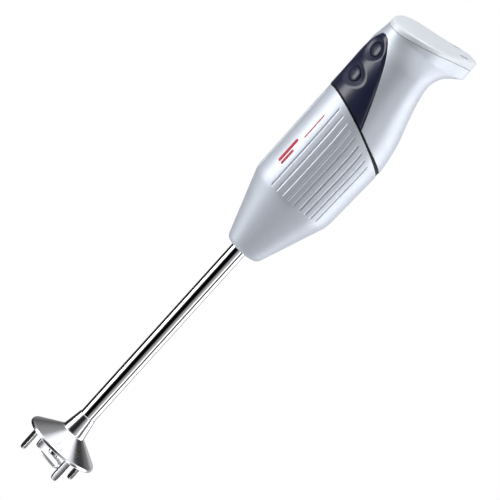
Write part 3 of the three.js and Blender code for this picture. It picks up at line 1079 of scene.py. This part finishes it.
@dataclass(frozen=True)
class HandleShell:
    """The necked handle that sweeps back into a tail, open at the front for the panel."""

    wall: float = 2.0
    gap: float = 0.22
    columns: int = 200
    low_rows: int = 74
    high_rows: int = 18
    swept: float = 376.0

    def build(self) -> None:
        """Wraps the skin, gives it a wall, rounds its edges and bores the inlet."""
        opening = EDGE.reach(290, self.gap)

        def share_at(u: float, z: float) -> float:
            """The share of the outline for a column at a height, clear of the opening."""
            edge = opening.at(z) if z < EDGE.top else 0.0
            return edge + u * (1 - 2 * edge)

        feet = [settled(lambda z, u=i / self.columns: share_at(u, z))
                for i in range(self.columns + 1)]

        def place(column: int, row: int) -> Point:
            """Gives the point of one column and row."""
            u = column / self.columns
            if row <= self.low_rows:
                z = feet[column] + (self.swept - feet[column]) * row / self.low_rows
            else:
                top = COVER_SEAM.at(CASING.at(u, CASING.rim)[0])
                z = self.swept + (top - self.swept) * (row - self.low_rows) / self.high_rows
            return *CASING.at(share_at(u, z), z), z

        shell = wrapped("handle_skin", self.columns, self.low_rows + self.high_rows, place)
        thicken(shell, self.wall)
        soften(shell, 0.25, 2, 50)
        CordInlet().cut_into(shell)
        soften(shell, 0)
        dress(shell, Slot.HOUSING, Body.CASING, "handle_shell")


@dataclass(frozen=True)
class Button:
    """One oval push button with the dots on its face."""

    name: str
    height: float
    body: Body
    dots: tuple[float, ...]
    dish_half: float
    oval: float = 1.3
    radius: float = 4.85
    face: float = -28.1
    back: float = -22.1
    foot: float = -18.1
    dome: float = 1.9
    flange: float = 6.0
    flange_thick: float = 1.2
    stem: float = 2.2

    def sag(self, turn: float) -> float:
        """How far the dome falls back at an angle from its middle, in radians."""
        return self.dome * (1 - math.cos(turn) ** 0.8)

    def build(self) -> None:
        """Turns the cap and sets the dots on its face: black discs, painted shade for the pits."""
        face, rear = self.face, self.back + self.flange_thick
        crown = [(self.radius * math.sin(t), face + self.sag(t))
                 for t in (math.radians(5 * i) for i in range(16))]
        profile = [(0.0, face), *crown[1:], (self.radius, face + self.dome),
                   (self.radius, self.back), (self.flange, self.back), (self.flange, rear),
                   (self.stem, rear), (self.stem, self.foot), (0, self.foot)]
        cap = turned(f"{self.name}_button_cap", profile, 72, self.height)
        widen(cap, self.oval)
        soften(cap, 0.1, 2, 50)
        dress(cap, Slot.PANEL, self.body, f"{self.name}_button")
        # painted shade: each dot is a black disc a little proud of the face, dark where the real dot's pit lies in
        # shade
        for i, y in enumerate(self.dots):
            dip = [(0, face - 0.02), (0.42, face - 0.01), (0.54, face + 0.05), (0.58, face + 0.4),
                   (0, face + 0.4)]
            dot = turned(f"{self.name}_button_dot_{i + 1}", dip, 24, self.height)
            sag = self.sag(math.asin(abs(y) / self.radius / self.oval))
            with editing(dot):
                bpy.ops.transform.translate(value=((sag - 0.04) * MM, y * MM, 0))
            soften(dot, 0)
            dress(dot, Slot.MOULDING, self.body)


BUTTONS = (
    Button("upper", 362.5, Body.UPPER_BUTTON, (0.0,), 10.8),
    Button("lower", 341.1, Body.LOWER_BUTTON, (-1.9, 1.9), 14.0),
)


@dataclass(frozen=True)
class ReturnSpring:
    """The coil that lifts a button."""

    button: Button
    front: float = -20.4
    back: float = -15.2
    turns: int = 4
    radius: float = 3.9
    wire: float = 0.4
    pressed: float = 0.74
    steps: int = 24
    sides: int = 10

    def build(self) -> None:
        """Wraps the wire along its coil."""
        rows, wire = self.turns * self.steps, self.wire
        reach = self.back - self.front - 2 * wire

        def place(column: int, row: int) -> Point:
            """Gives the point of one column and row."""
            share = min(max((row - 1) / (rows - 2), 0.0), 1.0)
            turn, around = math.tau * self.turns * share, math.tau * column / self.sides
            thick = 0.0 if row in (0, rows) else wire
            out = self.radius + thick * math.cos(around)
            x = self.front + wire + reach * share + thick * math.sin(around)
            return x, out * math.cos(turn), self.button.height + out * math.sin(turn)

        coil = wrapped(f"{self.button.name}_button_coil", self.sides, rows, place)
        soften(coil, 0)
        dress(coil, Slot.STEEL, Body.CASING, f"{self.button.name}_button_spring")
        metres(self.back, 0, self.button.height)
        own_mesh(coil)


@dataclass(frozen=True)
class SwitchPanel:
    """The navy panel round the front of the handle, with a scooped dish for each button."""

    proud: float = 0.3
    wall: float = 2.0
    dish_height: float = 8.5
    dish_depth: float = 3.1
    chamfer: float = 1.5
    chamfer_depth: float = 1.0
    bore: float = 5.12
    ridge: float = 0.8
    columns: int = 132
    rows: int = 150

    def sunk(self, y: float, z: float) -> float:
        """How deep the dishes are at a point of the skin.

        Args:
            y: Its place across.
            z: Its height.

        Returns:
            The depth in millimetres.
        """
        depth = 0.0
        for button in BUTTONS:
            wide = CASING.section(z)[2]
            arc = wide * math.asin(max(min(y / wide, 1.0), -1.0))
            spread = (arc / button.dish_half) ** 2 + ((z - button.height) / self.dish_height) ** 2
            depth = smooth_max(depth, self.dish_depth * (1 - spread), self.ridge)
        return depth

    def build(self) -> None:
        """Wraps the skin, sinks the dishes, gives it a wall and bores it for the buttons."""
        reach = EDGE.reach(300)
        sides = [2 * i / self.columns - 1 for i in range(self.columns + 1)]
        feet = [settled(lambda z, u=u: u * reach.at(z)) for u in sides]

        def place(column: int, row: int) -> Point:
            """Gives the point of one column and row."""
            t = 1 - (1 - row / self.rows) ** 1.25
            z = feet[column] + (EDGE.top - feet[column]) * t
            x, y = CASING.at(sides[column] * max(reach.at(z), 1e-5), z, -self.proud)
            lean = (EDGE.x(z) - x) / math.hypot(1, EDGE.slope)
            rim = max(1 - lean / self.chamfer, 0.0) ** 1.3 * self.chamfer_depth
            centre = CASING.section(z)[0]
            inward = Vector((centre - x, -y)).normalized()
            sunk = rim + self.sunk(y, z)
            return x + inward.x * sunk, y + inward.y * sunk, z

        panel = wrapped("switch_panel_skin", self.columns, self.rows, place)
        thicken(panel, self.wall)
        for button in BUTTONS:
            z = button.height
            hole = [(0, -34), (self.bore, -34), (self.bore, -20), (0, -20)]
            cutter = turned("cutter", hole, 72, z)
            widen(cutter, button.oval)
            combine(panel, cutter)
        soften(panel, 0, angle=40)
        dress(panel, Slot.PANEL, Body.CASING, "switch_panel")


@dataclass(frozen=True)
class CordInlet:
    """The rubber sleeve in the end of the tail."""

    height: float = 387.4
    bore: float = 4.2

    def cut_into(self, piece: Piece) -> None:
        """Bores the hole for the sleeve through a piece's tail."""
        hole = [(0, 34), (self.bore, 34), (self.bore, 45), (0, 45)]
        combine(piece, turned("bore", hole, 48, self.height))

    def build(self) -> None:
        """Turns the sleeve with its inner collar and rounded lip."""
        profile = rounded([
            (3.05, 33.4), (4.5, 33.4, 0.3), (4.5, 34.8, 0.3), (3.9, 34.8), (3.9, 40.0, 0.3),
            (3.05, 40.0, 0.3),
        ], 3)
        sleeve = turned("cord_inlet_sleeve", profile, 64, self.height)
        soften(sleeve, 0)
        dress(sleeve, Slot.RUBBER, Body.CASING, "cord_inlet_bush")


@dataclass(frozen=True)
class TopCover:
    """The pale crowned cover with its two slots near the tail."""

    wall: float = 1.5
    gap: float = 0.35
    bevel: float = 1.7
    crown: float = 0.5
    middle: float = 6.0
    slot_x: float = 27.0
    slot_y: float = 6.6
    slot_length: float = 7.2
    slot_width: float = 2.6
    roof_inset: float = 0.3
    roof_gap: float = 0.4
    # painted shade: the corners of a black block set under the two slots so that they read dark
    shade_block_low: Point = (22.0, -7.0, 386.5)
    shade_block_high: Point = (32.5, 7.0, 387.3)

    def crowned(self, column: int, inset: float, share: float, drop: float = 0.0) -> Point:
        """Gives a point of the crown, a share of the way from its rim to its middle."""
        rim_x, rim_y = CASING.teardrop(inset)[column]
        x, y = rim_x + (self.middle - rim_x) * share, rim_y * (1 - share)
        return x, y, COVER_TOP.at(x) + self.crown * (1 - (1 - share) ** 2) - drop

    def upright(self, column: int, inset: float, share: float, drop: float) -> Point:
        """Gives a point of the side, a share of the way from its foot to its top."""
        x, y = CASING.teardrop(inset)[column]
        low, high = COVER_SEAM.at(x) + self.gap, COVER_TOP.at(x) - drop
        return x, y, low + (high - low) * share

    def build(self) -> None:
        """Wraps the hollow shell from inside to outside, then cuts the slots and the inlet."""
        under_rows, inner_rows, side_rows, bevel_rows, top_rows = 10, 4, 6, 7, 18

        def place(column: int, row: int) -> Point:
            """Gives the point of one column and row."""
            if row <= under_rows:
                inset = self.wall + self.roof_inset
                return self.crowned(column, inset, 1 - row / under_rows, self.wall)
            row -= under_rows + 1
            if row <= inner_rows:
                drop = self.wall + self.roof_gap
                return self.upright(column, self.wall, 1 - row / inner_rows, drop)
            row -= inner_rows + 1
            if row <= side_rows:
                return self.upright(column, 0.0, row / side_rows, self.bevel)
            row -= side_rows
            if row <= bevel_rows:
                turn = math.pi / 2 * row / bevel_rows
                inset, drop = self.bevel * (1 - math.cos(turn)), self.bevel * (1 - math.sin(turn))
                x, y = CASING.teardrop(inset)[column]
                return x, y, COVER_TOP.at(x) - drop
            return self.crowned(column, self.bevel, (row - bevel_rows) / top_rows)

        rows = under_rows + inner_rows + side_rows + bevel_rows + top_rows + 2
        cover = wrapped("crowned_cover", CASING.count, rows, place)
        half, reach = self.slot_width / 2, (self.slot_length - self.slot_width) / 2
        below, above = 380, 400
        turns = [math.radians(15 * i - 90) for i in range(13)]
        for side in (-1, 1):
            x, y = self.slot_x, side * self.slot_y
            outline = [(x + reach + half * math.cos(t), y + half * math.sin(t)) for t in turns]
            outline += [(x - reach - half * math.cos(t), y - half * math.sin(t)) for t in turns]
            combine(cover, drawn_up("cutter", outline, below, above))
        CordInlet().cut_into(cover)
        soften(cover, 0.15, 2, 50)
        dress(cover, Slot.COVER, Body.CASING, "top_cover")
        # painted shade: a black ring behind the cover's joint, seen through the gap
        self.lip()
        # painted shade: a black block under the two slots makes them read as dark holes
        shade_block = bar("slot_shade_block", self.shade_block_low, self.shade_block_high)
        soften(shade_block, 0.2)
        dress(shade_block, Slot.MOULDING, Body.CASING)

    def lip(self) -> None:
        """Wraps a black ring behind the joint between the cover and the handle, painted shade that makes the gap
        read as a dark line.
        """
        inner, outer, reach = 1.6, 0.7, 1.4

        def place(column: int, row: int) -> Point:
            """Gives the point of one column and row."""
            inset, side = ((inner, -1), (outer, -1), (outer, 1), (inner, 1), (inner, -1))[row]
            x, y = CASING.teardrop(inset)[column]
            return x, y, COVER_SEAM.at(x) + side * reach

        ring = wrapped("cover_seam_shade", CASING.count, 4, place)
        soften(ring, 0, angle=50)
        dress(ring, Slot.MOULDING, Body.CASING)


@dataclass(frozen=True)
class ShaftTube:
    """The polished tube between the guard and the housing."""

    outer: float = 5.8
    inner: float = 4.8
    low: float = 44.3
    top: float = 214.0

    def build(self) -> None:
        """Turns the tube with its ends broken."""
        profile = rounded([(self.inner, self.low), (self.outer, self.low, 0.25),
                           (self.outer, self.top, 0.2), (self.inner, self.top)], 3)
        tube = turned("shaft_tube", profile, 128)
        soften(tube, 0)
        dress(tube, Slot.TUBE, Body.CASING, "tube")


@dataclass(frozen=True)
class SplashGuard:
    """The chromed bell with its collar and four tapered legs."""

    rim: float = 26.7
    leg_radius: float = 21.6
    leg_turn: float = -7.3
    leg_width: float = 5.0
    leg_tip: float = 2.4
    leg_thick: float = 2.1
    leg_top: float = 20.2
    leg_cuts: int = 15
    leg_crowding: float = 1.8
    legs: int = 4
    taper: float = 4.6

    def leg(self) -> Piece:
        """Models one leg: a block cut up, drawn in to its tip and rounded along its edges."""
        half, thick = self.leg_width / 2, self.leg_thick / 2
        radius = self.leg_radius
        leg = bar("leg", (radius - thick, -half, 0), (radius + thick, half, 1), self.leg_cuts)
        for vertex in leg.data.vertices:
            z = self.leg_top * (vertex.co.z / MM) ** self.leg_crowding
            rise = 1 - min(z / self.taper, 1.0)
            width = self.leg_tip + (self.leg_width - self.leg_tip) * math.sqrt(1 - rise * rise)
            y = vertex.co.y * width / self.leg_width
            vertex.co = (vertex.co.x - y * y / (2 * self.rim * MM), y, z * MM)
        bevel(leg, 0.3, 2, 50)
        return leg

    def build(self) -> None:
        """Turns the bell and melts copies of the leg into it."""
        rim = self.rim
        profile = rounded([
            (rim - 0.5, 16.2, 0.4), (rim, 16.7, 0.4), (rim, 17.9, 0.7), (rim - 0.5, 18.8, 0.7),
            (9.2, 29.3, 0.6), (8.7, 30.0, 0.6), (6.2, 43.9, 0.3), (6.0, 44.2, 0.2), (4.5, 44.2),
            (4.5, 50.0), (3.0, 50.0), (3.0, 43.6), (4.8, 43.6), (4.8, 27.4), (7.8, 27.4, 0.4),
            (rim - 1.9, 17.0, 0.4), (rim - 1.9, 16.2, 0.2),
        ], 4)
        bell = turned("guard_bell", profile, 120)
        leg = self.leg()
        for i in range(self.legs):
            turn = self.leg_turn + 360 / self.legs * i
            combine(bell, spun(copied(leg, f"leg_{i + 1}"), turn), "UNION")
        bpy.data.objects.remove(leg)
        soften(bell, 0, angle=32)
        dress(bell, Slot.GUARD, Body.CASING, "guard")


@dataclass(frozen=True)
class BladeUnit:
    """The grooved sleeve and the strip bent back under it."""

    turn: float = -65.0
    width: float = 4.2
    thick: float = 0.9
    top: float = 8.3
    bottom: float = 2.4
    start: float = -4.4
    reach: float = 9.6
    back: float = 8.3

    def hub(self) -> None:
        """Turns the sleeve and cuts the slot for the drive pin."""
        profile = rounded([
            (2.3, 8.35), (4.6, 8.35, 0.25), (4.6, 11.2, 0.3), (3.8, 11.8, 0.3), (3.8, 15.6, 0.3),
            (4.6, 16.2, 0.3), (4.6, 18.6, 0.3), (3.9, 19.2, 0.3), (3.9, 26.9, 0.3), (2.3, 26.9),
        ], 3)
        hub = turned("blade_sleeve", profile, 72)
        slot = bar("cross_slot", (-6, -1, 12.2), (6, 1, 30))
        combine(hub, spun(slot, self.turn + 90))
        soften(hub, 0.08, 1, 50)
        dress(hub, Slot.BLADE, Body.BLADE, "blade_hub")

    def strip(self) -> None:
        """Bends a strip into a hook, thins its tips and gives it its thickness."""
        bend = (self.top - self.bottom) / 2
        middle_x, middle_z = self.reach - bend, (self.top + self.bottom) / 2
        line = [Vector((self.start + (middle_x - self.start) * i / 10, self.top))
                for i in range(10)]
        line += [Vector((middle_x + bend * math.sin(t), middle_z + bend * math.cos(t)))
                 for t in (math.pi * i / 20 for i in range(20))]
        line += [Vector((middle_x - (middle_x + self.back + 0.5) * i / 16, self.bottom))
                 for i in range(17)]
        across = 10

        def place(column: int, row: int) -> Point:
            """Gives the point of one column and row."""
            point = line[row]
            side = 2 * column / across - 1
            tail = smooth_step(len(line) - 1 - row, -1.0, 5.0)
            half = self.width / 2 * (0.72 + 0.28 * tail)
            return point.x, side * half, point.y

        strip = wrapped("hooked_blade", across, len(line) - 1, place)
        with editing(strip):
            bpy.ops.mesh.flip_normals()
        flat = sum(p.normal.z for p in strip.data.polygons if p.center.z > 8 * MM)
        modify(strip, "SOLIDIFY", thickness=self.thick * MM, offset=-1 if flat > 0 else 1)
        bevel(strip, 0.2, 2, 50)
        spun(strip, self.turn)
        soften(strip, 0, angle=40)
        dress(strip, Slot.BLADE, Body.BLADE, "blade")

    def build(self) -> None:
        """Models both pieces."""
        self.hub()
        self.strip()


@dataclass(frozen=True)
class Stripe:
    """One printed red stripe on the housing: degrees from the front and heights."""

    name: str
    low_angle: float
    high_angle: float
    low: float
    high: float
    lift: float = 0.04
    thick: float = 0.08

    def build(self) -> None:
        """Wraps a thin rounded stripe on the skin."""
        columns, rows = 12, 48
        middle = (self.low_angle + self.high_angle) / 2
        half = (self.high_angle - self.low_angle) / 2
        radius = math.radians(half) * GIRTH

        def place(column: int, row: int) -> Point:
            """Gives the point of one column and row."""
            z = self.low + (self.high - self.low) * (1 - math.cos(math.pi * row / rows)) / 2
            end = max(radius - min(z - self.low, self.high - z), 0.0) / radius
            side = (2 * column / columns - 1) * math.sqrt(max(1 - end * end, 1e-4))
            turn = math.radians(180 + middle + side * half)
            x, a, b = CASING.section(z)
            across, aside = (a + self.lift) * math.cos(turn), (b + self.lift) * math.sin(turn)
            return x + across, aside, z

        stripe = wrapped(self.name, columns, rows, place)
        thicken(stripe, self.thick)
        soften(stripe, 0)
        dress(stripe, Slot.INK, Body.CASING)


@dataclass(frozen=True)
class Print:
    """The plain red mark on the smooth band of the housing."""

    stripes: tuple[Stripe, ...] = (
        Stripe("print_stripe_broad", 4.4, 9.4, 264.6, 284.0),
        Stripe("print_stripe_short", 11.0, 15.0, 264.6, 277.0),
        Stripe("print_line_fine", 12.2, 14.0, 288.0, 308.0),
    )

    def build(self) -> None:
        """Prints the stripes."""
        for stripe in self.stripes:
            stripe.build()


class InnerWorks:
    """The motor, drive line and switches, which keep their CAD meshes."""

    def build(self) -> None:
        """Gives every CAD node that still shows its detailed finish."""
        for part in frame["record"]["subparts"]:
            node = frame["nodes"][part["node"]]
            node.data.materials.clear()
            node.data.materials.append(MATERIALS[Slot(part["material_slot"])])


# ---- the studio ----


def towards(azimuth: float, elevation: float) -> Vector:
    """The level or raised direction at an azimuth and an elevation, in degrees."""
    a, e = math.radians(azimuth), math.radians(elevation)
    return Vector((math.sin(a) * math.cos(e), -math.cos(a) * math.cos(e), math.sin(e)))


@dataclass(frozen=True)
class Camera:
    """The viewpoint: its angles, distance and roll."""

    azimuth: float = -38.0
    elevation: float = 11.5
    distance: float = 3.3
    frame_width: float = 0.3328
    sensor: float = 36.0
    roll: float = 42.14
    aim_height: float = 0.2030
    aim_right: float = 0.0059

    def directions(self) -> tuple[Vector, Vector]:
        """The direction to the camera and the one to its right."""
        a = math.radians(self.azimuth)
        return towards(self.azimuth, self.elevation), Vector((math.cos(a), math.sin(a), 0))

    def build(self) -> None:
        """Places the camera and makes it the scene's own."""
        back, right = self.directions()
        data = bpy.data.cameras.new("view")
        camera = bpy.data.objects.new("view", data)
        bpy.context.scene.collection.objects.link(camera)
        data.sensor_width = self.sensor
        data.lens = self.sensor * self.distance / self.frame_width
        data.clip_end = 50
        aim = Vector((DRIVE_AXIS_X * MM, 0, self.aim_height)) + right * self.aim_right
        turn = Matrix((right, back.cross(right), back)).transposed().to_4x4()
        roll = Matrix.Rotation(math.radians(self.roll), 4, "Z")
        camera.matrix_world = Matrix.Translation(aim + back * self.distance) @ turn @ roll
        bpy.context.scene.camera = camera
        log.info("camera: lens %.1f mm", data.lens)


@dataclass(frozen=True)
class Lamp:
    """One soft panel: degrees right of the camera and up, width, height in metres, brightness."""

    name: str
    turn: float
    rise: float
    wide: float
    tall: float
    glow: float
    distance: float = 1.6
    aim: float = 0.25

    def build(self, camera: Camera) -> None:
        """Hangs the panel so that it faces the object.

        Args:
            camera: The viewpoint that the angle is measured from.
        """
        way = towards(camera.azimuth + self.turn, self.rise)
        data = bpy.data.lights.new(self.name, "AREA")
        data.shape = "RECTANGLE"
        data.size, data.size_y = self.wide, self.tall
        data.energy = self.glow * math.pi * self.wide * self.tall
        lamp = bpy.data.objects.new(self.name, data)
        bpy.context.scene.collection.objects.link(lamp)
        lamp.location = way * self.distance + Vector((0, 0, self.aim))
        lamp.rotation_euler = way.to_track_quat("Z", "Y").to_euler()
        lamp.visible_camera = False


@dataclass(frozen=True)
class Studio:
    """The pale floor and the soft panels all round, as brightness by direction."""

    level: Stops = (
        (-180, 0.35), (-150, 0.05), (-128, 0.006), (-108, 0.008), (-98, 0.2), (-88, 0.95),
        (-80, 1.0), (-66, 1.0), (-58, 0.6), (-50, 0.06), (-42, 0.002), (-8, 0.001), (0, 0.03),
        (8, 0.2), (18, 0.34), (35, 0.52), (46, 0.72), (54, 0.65), (62, 0.15), (70, 0.05),
        (78, 0.1), (88, 0.7), (98, 0.85), (110, 0.72), (128, 0.33), (150, 0.45), (164, 0.56),
        (180, 0.35),
    )
    raised: Stops = (
        (-180, 0.12), (-160, 0.08), (-148, 0.17), (-139, 0.28), (-120, 0.35), (-90, 0.9),
        (-60, 0.9), (-40, 0.3), (0, 0.18), (40, 0.7), (60, 0.5), (90, 0.8), (115, 0.35),
        (129, 0.03), (144, 0.03), (150, 0.17), (158, 0.1), (170, 0.06), (180, 0.12),
    )
    raised_from: tuple[float, float] = (0.16, 0.42)
    overhead_from: tuple[float, float] = (0.84, 0.93)
    under_from: tuple[float, float] = (-0.55, -0.8)
    overhead: tuple[float, ...] = (1.15, 1.15, 1.17, 1)
    under: tuple[float, ...] = (0.75, 0.76, 0.78, 1)
    lamps: tuple[Lamp, ...] = (
        Lamp("left_panel", -78, 0, 0.75, 1.9, 4.0),
        Lamp("right_panel", 104, 0, 1.1, 1.9, 2.1),
        Lamp("inner_right_panel", 47, 0, 0.28, 1.9, 1.3),
        Lamp("top_panel", 30, 82, 0.9, 0.9, 4.0),
    )

    def world(self, camera: Camera) -> None:
        """Builds the light by direction, with plain white behind the object.

        Args:
            camera: The viewpoint that the panels stand round.
        """
        world = bpy.data.worlds.new("studio")
        bpy.context.scene.world = world
        wires = emptied(world)
        back, right = camera.directions()
        level_back = Vector((back.x, back.y, 0)).normalized()
        way = wires.node("TexCoord").outputs["Generated"]

        def along(axis: Vector) -> Socket:
            """The share of the direction that runs along an axis."""
            dot = wires.node("VectorMath", {0: way, 1: axis}, operation="DOT_PRODUCT")
            return dot.outputs["Value"]

        turn = wires.math("ARCTAN2", along(right), along(level_back))
        share = wires.scaled(turn, 0, 1, -math.pi, math.pi)
        rings = [wires.ramp(share, [(a / 360 + 0.5, v) for a, v in stops])
                 for stops in (self.level, self.raised)]
        rise = along(Vector((0, 0, 1)))
        colour = rings[0]
        for (start, end), above in zip((self.raised_from, self.overhead_from, self.under_from),
                                       (rings[1], self.overhead, self.under), strict=True):
            colour = wires.tint(wires.scaled(rise, 0, 1, start, end), colour, above)
        lit = wires.node("Background", {"Color": colour, "Strength": 1.0})
        plain = wires.node("Background", {"Color": WHITE, "Strength": 1.0})
        path = wires.node("LightPath")
        both = wires.node("MixShader", {0: path.outputs["Is Camera Ray"], 1: lit.outputs[0],
                                        2: plain.outputs[0]})
        wires.node("OutputWorld", {"Surface": both.outputs[0]})

    def floor(self) -> None:
        """Lays a wide pale floor under the legs."""
        floor = added("studio_floor", bpy.ops.mesh.primitive_grid_add, x_subdivisions=8,
                      y_subdivisions=8, size=24)
        with editing(floor):
            bpy.ops.transform.translate(value=(0, 0, -0.0002))
        material = bpy.data.materials.new("studio_white")
        wires = emptied(material)
        glow = wires.node("Emission", {"Color": WHITE, "Strength": 1.0})
        wires.node("OutputMaterial", {"Surface": glow.outputs[0]})
        floor.data.materials.append(material)
        floor.visible_glossy = floor.visible_diffuse = floor.visible_shadow = False

    def build(self, camera: Camera) -> None:
        """Sets up world, floor and lamps.

        Args:
            camera: The viewpoint that the panels stand round.
        """
        bpy.context.scene.view_settings.view_transform = "Standard"
        self.world(camera)
        self.floor()
        for lamp in self.lamps:
            lamp.build(camera)


def main() -> None:
    """Builds the scene piece by piece."""
    logging.basicConfig(level=logging.INFO, format="%(name)s %(message)s")
    camera = Camera()
    camera.build()
    InnerWorks().build()
    for part in (MotorHousing(), SealRing(), HandleShell(), SwitchPanel(), *BUTTONS,
                 *(ReturnSpring(button) for button in BUTTONS), TopCover(),
                 CordInlet(), ShaftTube(), SplashGuard(), BladeUnit(), Print()):
        part.build()
    Studio().build(camera)


if __name__ == "__main__":
    main()
